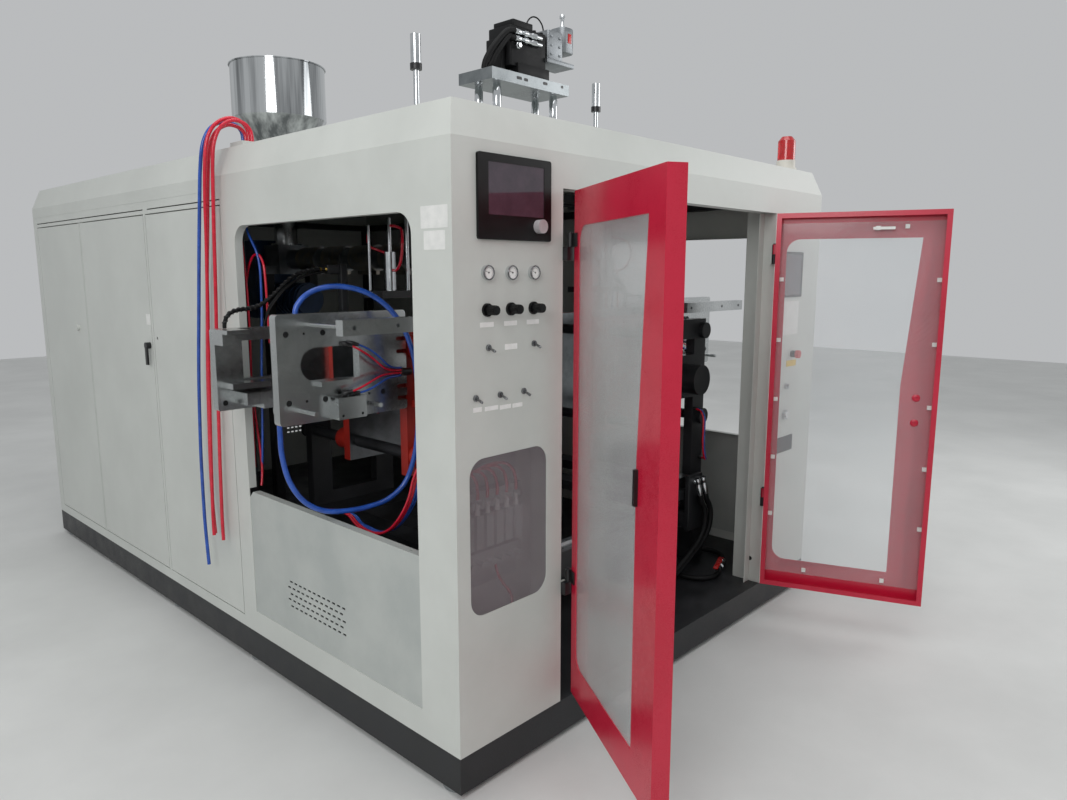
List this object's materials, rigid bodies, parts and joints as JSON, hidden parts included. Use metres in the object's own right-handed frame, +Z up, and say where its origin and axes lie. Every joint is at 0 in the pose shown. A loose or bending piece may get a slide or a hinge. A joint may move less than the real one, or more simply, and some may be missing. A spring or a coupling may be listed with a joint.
{
  "type": "blow moulding machine",
  "caption": "Double-station bottle blow moulding machine: sheet metal enclosure with open double doors, shuttle clamps, blow pins, extruder and hopper.",
  "frame": {"origin": "centre of the footprint on the floor, measured with the front doors as they stand open, without the free hoses", "axes": "+Z up, front doors face -Y, +X to the right as seen from the front"},
  "size_m": [2.845, 4.6988, 3.015],
  "materials": {
    "grey_sheet": "satin powder coat",
    "guard_sheet": "satin powder coat",
    "black_steel": "semi-gloss black paint",
    "foot_steel": "zinc plated",
    "crimson_sheet": "glossy powder coat",
    "frosted_sheet": "frosted polycarbonate",
    "clear_sheet": "clear polycarbonate",
    "clip_plastic": "moulded nylon",
    "dark_pane": "smoked acrylic",
    "valve_body": "die cast",
    "gauge_chrome": "polished bezel",
    "valve_plastic": "moulded",
    "panel_plastic": "moulded bezel",
    "knob_metal": "turned",
    "knob_black": "moulded",
    "stop_red": "moulded",
    "button_white": "moulded",
    "beacon_red": "moulded lens",
    "hopper_steel": "mirror polished stainless",
    "barrel_steel": "machined",
    "screw_steel": "nitrided",
    "drive_blue": "machine enamel",
    "head_black": "heat-proof black",
    "platform_steel": "machined plate, chrome columns",
    "servo_black": "anodised and rubber",
    "cylinder_alloy": "anodised",
    "rail_steel": "ground",
    "clamp_red": "machine enamel on castings",
    "trim_steel": "milled",
    "pin_chrome": "hard chrome",
    "red_hose": "polyurethane tube",
    "blue_hose": "polyurethane tube",
    "handle_black": "moulded"
  },
  "bodies": {
    "root": {"base_frame": "black_steel", "levelling_feet": "foot_steel", "roof_cover": "grey_sheet", "left_window_panel": "grey_sheet", "right_window_panel": "grey_sheet", "sill_guards": "guard_sheet", "left_rear_frame": "grey_sheet", "side_cover": "grey_sheet", "right_rear_panel": "grey_sheet", "rear_panel": "grey_sheet", "front_left_pillar": "grey_sheet", "front_right_pillar": "grey_sheet", "front_header": "grey_sheet", "pillar_window": "dark_pane", "valve_manifold": "valve_body", "pressure_gauges": "gauge_chrome", "panel_valves": "valve_plastic", "hmi_panel": "panel_plastic", "side_display": "panel_plastic", "beacon": "beacon_red", "hopper": "hopper_steel", "extruder_barrel": "barrel_steel", "gear_motor": "drive_blue", "die_head": "head_black", "head_platform": "platform_steel", "servo_valve": "servo_black", "blow_cylinders": "cylinder_alloy", "guide_rails": "rail_steel", "hose_red_1": "red_hose", "hose_red_2": "red_hose", "hose_red_3": "red_hose", "hose_blue": "blue_hose"},
    "left_door": {"left_door": "crimson_sheet", "left_door_window": "frosted_sheet"},
    "right_door": {"right_door": "crimson_sheet", "right_door_window": "clear_sheet", "door_clips": "clip_plastic"},
    "access_door_1": {"access_door_1": "grey_sheet"},
    "access_door_2": {"access_door_2": "grey_sheet"},
    "access_handle": {"access_handle": "handle_black"},
    "hmi_knob": {"hmi_knob": "knob_metal"},
    "regulator_knob_1": {"regulator_knob_1": "knob_black"},
    "regulator_knob_2": {"regulator_knob_2": "knob_black"},
    "regulator_knob_3": {"regulator_knob_3": "knob_black"},
    "emergency_stop": {"emergency_stop": "stop_red"},
    "start_button": {"start_button": "button_white"},
    "screw": {"extruder_screw": "screw_steel"},
    "left_carriage": {"left_carriage": "clamp_red"},
    "right_carriage": {"right_carriage": "clamp_red"},
    "left_front_clamp": {"left_front_platen": "clamp_red", "left_front_trim": "trim_steel", "loop_hose": "blue_hose"},
    "right_front_clamp": {"right_front_platen": "clamp_red", "right_front_trim": "trim_steel"},
    "left_rear_clamp": {"left_rear_platen": "clamp_red", "left_rear_trim": "trim_steel"},
    "right_rear_clamp": {"right_rear_platen": "clamp_red", "right_rear_trim": "trim_steel"},
    "left_blow_pin": {"left_blow_pin": "pin_chrome"},
    "right_blow_pin": {"right_blow_pin": "pin_chrome"}
  },
  "joints": [
    {"name": "left_door_swing", "type": "hinge", "parent": "root", "child": "left_door", "pos_m": [-0.7375, -1.64062, 1.2], "axis": [0, 0, 1], "range_deg": [-6, 121.5]},
    {"name": "right_door_swing", "type": "hinge", "parent": "root", "child": "right_door", "pos_m": [0.7375, -1.64062, 1.2], "axis": [0, 0, 1], "range_deg": [-110.5, 6]},
    {"name": "access_door_1_swing", "type": "hinge", "parent": "root", "child": "access_door_1", "pos_m": [-1.2415, 1.49138, 1.09], "axis": [0, 0, -1], "range_deg": [0, 100]},
    {"name": "access_door_2_swing", "type": "hinge", "parent": "root", "child": "access_door_2", "pos_m": [-1.2415, 2.26138, 1.09], "axis": [0, 0, -1], "range_deg": [0, 100]},
    {"name": "access_handle_turn", "type": "hinge", "parent": "access_door_1", "child": "access_handle", "pos_m": [-1.2525, 0.64338, 1.35], "axis": [1, 0, 0], "range_deg": [0, 90]},
    {"name": "hmi_knob_turn", "type": "hinge", "parent": "root", "child": "hmi_knob", "pos_m": [-0.8975, -1.65062, 1.85], "axis": [0, 1, 0], "continuous": true},
    {"name": "regulator_knob_1_turn", "type": "hinge", "parent": "root", "child": "regulator_knob_1", "pos_m": [-1.1175, -1.65062, 1.592], "axis": [0, 1, 0], "range_deg": [-135, 135]},
    {"name": "regulator_knob_2_turn", "type": "hinge", "parent": "root", "child": "regulator_knob_2", "pos_m": [-1.0145, -1.65062, 1.592], "axis": [0, 1, 0], "range_deg": [-135, 135]},
    {"name": "regulator_knob_3_turn", "type": "hinge", "parent": "root", "child": "regulator_knob_3", "pos_m": [-0.9115, -1.65062, 1.592], "axis": [0, 1, 0], "range_deg": [-135, 135]},
    {"name": "emergency_stop_press", "type": "slide", "parent": "root", "child": "emergency_stop", "axis": [0, 1, 0], "range_m": [0, 0.005]},
    {"name": "start_button_press", "type": "slide", "parent": "root", "child": "start_button", "axis": [0, 1, 0], "range_m": [0, 0.004], "stiffness_N_per_m": 900},
    {"name": "screw_turn", "type": "hinge", "parent": "root", "child": "screw", "pos_m": [0, 0.56938, 1.79], "axis": [0, 1, 0], "continuous": true},
    {"name": "left_carriage_shuttle", "type": "slide", "parent": "root", "child": "left_carriage", "axis": [1, 0, 0], "range_m": [0, 0.5975]},
    {"name": "right_carriage_shuttle", "type": "slide", "parent": "root", "child": "right_carriage", "axis": [1, 0, 0], "range_m": [-0.5975, 0]},
    {"name": "left_front_clamp_close", "type": "slide", "parent": "left_carriage", "child": "left_front_clamp", "axis": [0, 1, 0], "range_m": [0, 0.11]},
    {"name": "left_rear_clamp_close", "type": "slide", "parent": "left_carriage", "child": "left_rear_clamp", "axis": [0, 1, 0], "range_m": [-0.11, 0]},
    {"name": "right_front_clamp_close", "type": "slide", "parent": "right_carriage", "child": "right_front_clamp", "axis": [0, 1, 0], "range_m": [0, 0.11]},
    {"name": "right_rear_clamp_close", "type": "slide", "parent": "right_carriage", "child": "right_rear_clamp", "axis": [0, 1, 0], "range_m": [-0.11, 0]},
    {"name": "left_blow_pin_stroke", "type": "slide", "parent": "root", "child": "left_blow_pin", "axis": [0, 0, -1], "range_m": [0, 0.1]},
    {"name": "right_blow_pin_stroke", "type": "slide", "parent": "root", "child": "right_blow_pin", "axis": [0, 0, -1], "range_m": [0, 0.1]}
  ],
  "couplings": [
    {"joint": "left_rear_clamp_close", "follows": "left_front_clamp_close", "ratio": -1},
    {"joint": "right_rear_clamp_close", "follows": "right_front_clamp_close", "ratio": -1}
  ]
}
